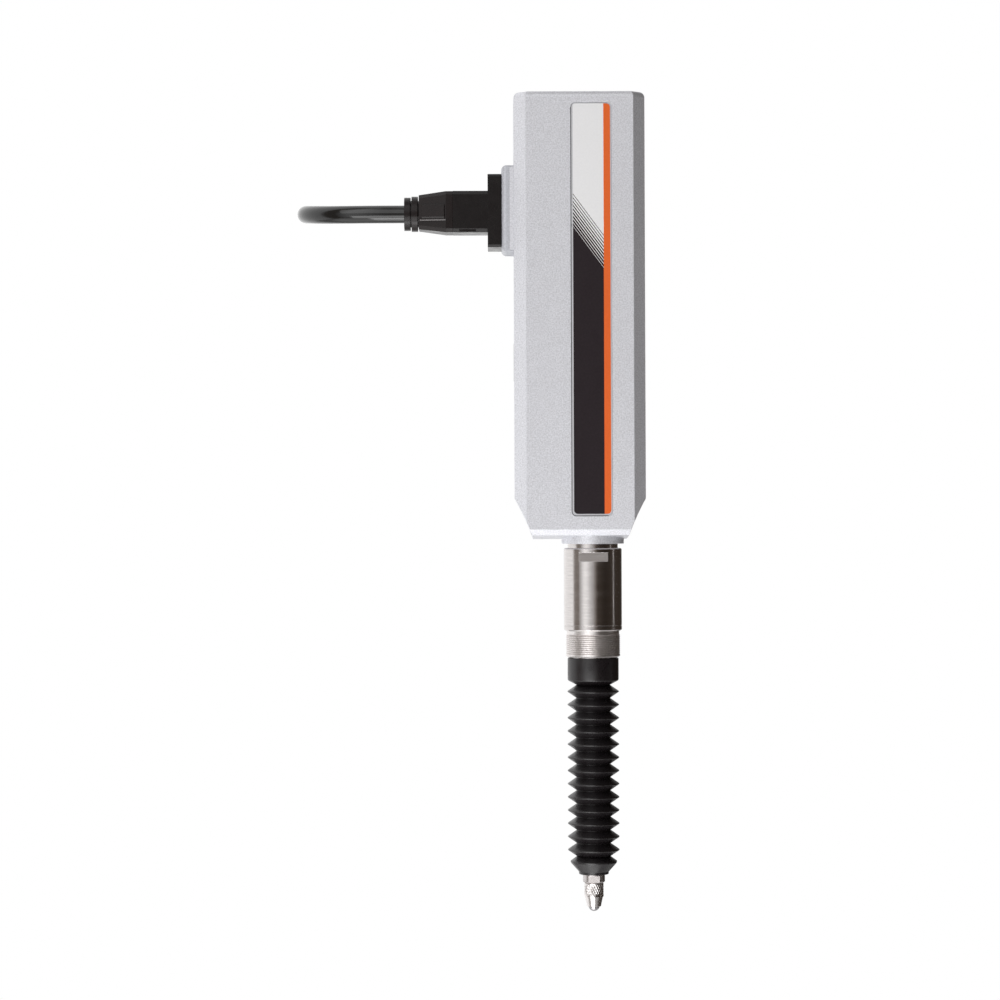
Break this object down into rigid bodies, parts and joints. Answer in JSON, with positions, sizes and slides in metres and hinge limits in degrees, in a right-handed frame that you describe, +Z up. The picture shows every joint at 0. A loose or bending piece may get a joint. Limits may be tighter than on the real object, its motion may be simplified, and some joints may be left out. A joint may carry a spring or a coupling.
{
  "type": "linear displacement sensor",
  "caption": "Contact displacement sensor: flat silver housing on a clamping stem, sprung spindle under a rubber bellows, hard ball tip, side plug with a coiled cable.",
  "frame": {"origin": "centre of the stem's 15 mm clamping stretch, on the spindle's axis", "axes": "+Z up the stem into the housing, -Y out of the labelled front, +X away from the side plug"},
  "size_m": [0.0908, 0.0784, 0.2109],
  "materials": {
    "paint": "metallic silver paint, satin",
    "cover_paint": "metallic silver paint, satin",
    "gasket_rubber": "moulded rubber",
    "screw_steel": "machined",
    "label_film": "printed film, satin",
    "stem_steel": "ground, bright",
    "bearing_steel": "honed",
    "ball_steel": "polished",
    "cage_brass": "machined",
    "seal_rubber": "moulded rubber",
    "boot_rubber": "moulded rubber, semi-gloss",
    "tip_hard": "polished hard metal",
    "carriage_alloy": "anodised",
    "scale_glass": "ruled optical glass",
    "spring_steel": "spring wire",
    "head_plastic": "moulded",
    "lamp_plastic": "clear",
    "detector_plastic": "moulded",
    "board_laminate": "coated laminate",
    "chip_plastic": "moulded",
    "header_plastic": "moulded",
    "plug_plastic": "moulded",
    "contact_gold": "plated",
    "cable_jacket": "extruded, smooth",
    "strap_fabric": "hook and loop tape",
    "shell_metal": "plated"
  },
  "bodies": {
    "gauge_body": {"housing": "paint", "rear_cover": "cover_paint", "cover_gasket": "gasket_rubber", "cover_screws": "screw_steel", "label_plate": "label_film", "stem": "stem_steel", "bearing_sleeve": "bearing_steel", "wiper_seal": "seal_rubber", "stop_bumper": "seal_rubber", "bellows": "boot_rubber", "guide_rail": "bearing_steel", "rail_screws": "screw_steel", "spring_guide": "bearing_steel", "return_spring": "spring_steel", "detector_head": "head_plastic", "light_source": "lamp_plastic", "index_glass": "scale_glass", "photodetector": "detector_plastic", "circuit_board": "board_laminate", "board_chips": "chip_plastic", "board_header": "header_plastic", "board_screws": "screw_steel", "connector_spacer": "paint", "socket": "plug_plastic", "socket_screws": "screw_steel", "socket_pins": "contact_gold", "plug_body": "plug_plastic", "plug_grip": "plug_plastic", "cable_lead": "cable_jacket", "cable_hank": "cable_jacket", "cable_tail": "cable_jacket", "cable_strap": "strap_fabric", "end_plug_relief": "cable_jacket", "end_plug_body": "plug_plastic", "end_plug_shell": "shell_metal"},
    "spindle_body": {"spindle": "bearing_steel", "contact_point": "stem_steel", "contact_ball": "tip_hard", "scale_carriage": "carriage_alloy", "carriage_screw": "screw_steel", "glass_scale": "scale_glass", "guide_pin": "bearing_steel"},
    "cage_body": {"ball_cage": "cage_brass", "bearing_balls": "ball_steel"}
  },
  "joints": [
    {"name": "spindle_slide", "type": "slide", "parent": "gauge_body", "child": "spindle_body", "axis": [0, 0, 1], "range_m": [0, 0.025], "stiffness_N_per_m": 40, "springref_m": -0.02, "deforming": ["bellows", "return_spring"]},
    {"name": "cage_slide", "type": "slide", "parent": "gauge_body", "child": "cage_body", "axis": [0, 0, 1], "range_m": [0, 0.0125]}
  ],
  "couplings": [
    {"joint": "cage_slide", "follows": "spindle_slide", "ratio": 0.5}
  ]
}
